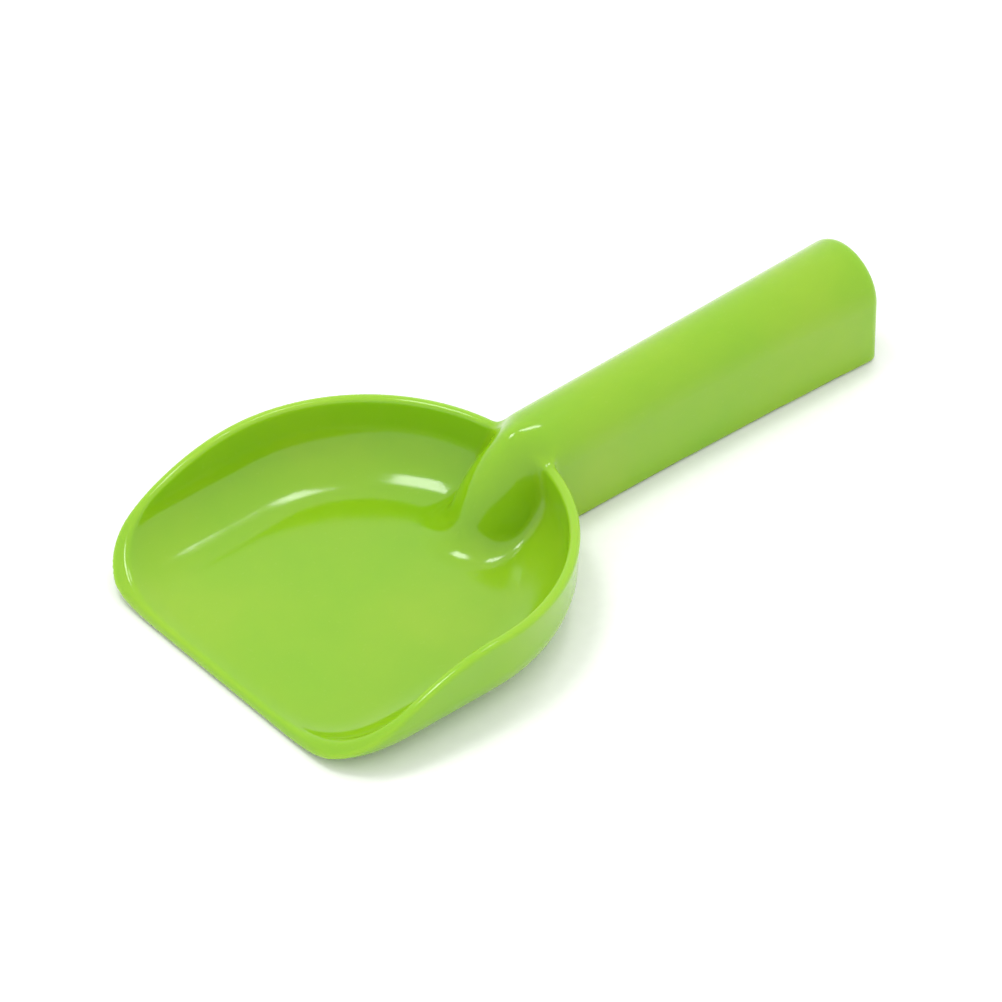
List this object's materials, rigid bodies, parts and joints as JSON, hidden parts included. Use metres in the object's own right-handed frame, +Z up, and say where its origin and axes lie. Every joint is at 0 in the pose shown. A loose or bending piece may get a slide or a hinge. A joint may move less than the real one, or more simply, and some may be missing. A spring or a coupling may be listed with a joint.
{
  "type": "toy beach sand scoop",
  "caption": "Child's one-piece plastic sand scoop: a round, open-fronted tray with an arched channel handle whose closed, domed nose slopes down into the tray.",
  "frame": {"origin": "on the ground, in the flat underside of the tray, under the centre of the tray's round back", "axes": "+Z up, +X from the front edge back along the handle, +Y completes a right-handed frame; the scoop is symmetric about Y = 0"},
  "size_m": [0.2184, 0.112, 0.0321],
  "materials": {
    "bowl_plastic": "glossy moulded polypropylene, lime green, slightly translucent",
    "handle_plastic": "glossy moulded polypropylene, lime green, slightly translucent"
  },
  "bodies": {
    "root": {"bowl": "bowl_plastic", "handle": "handle_plastic"}
  },
  "joints": []
}
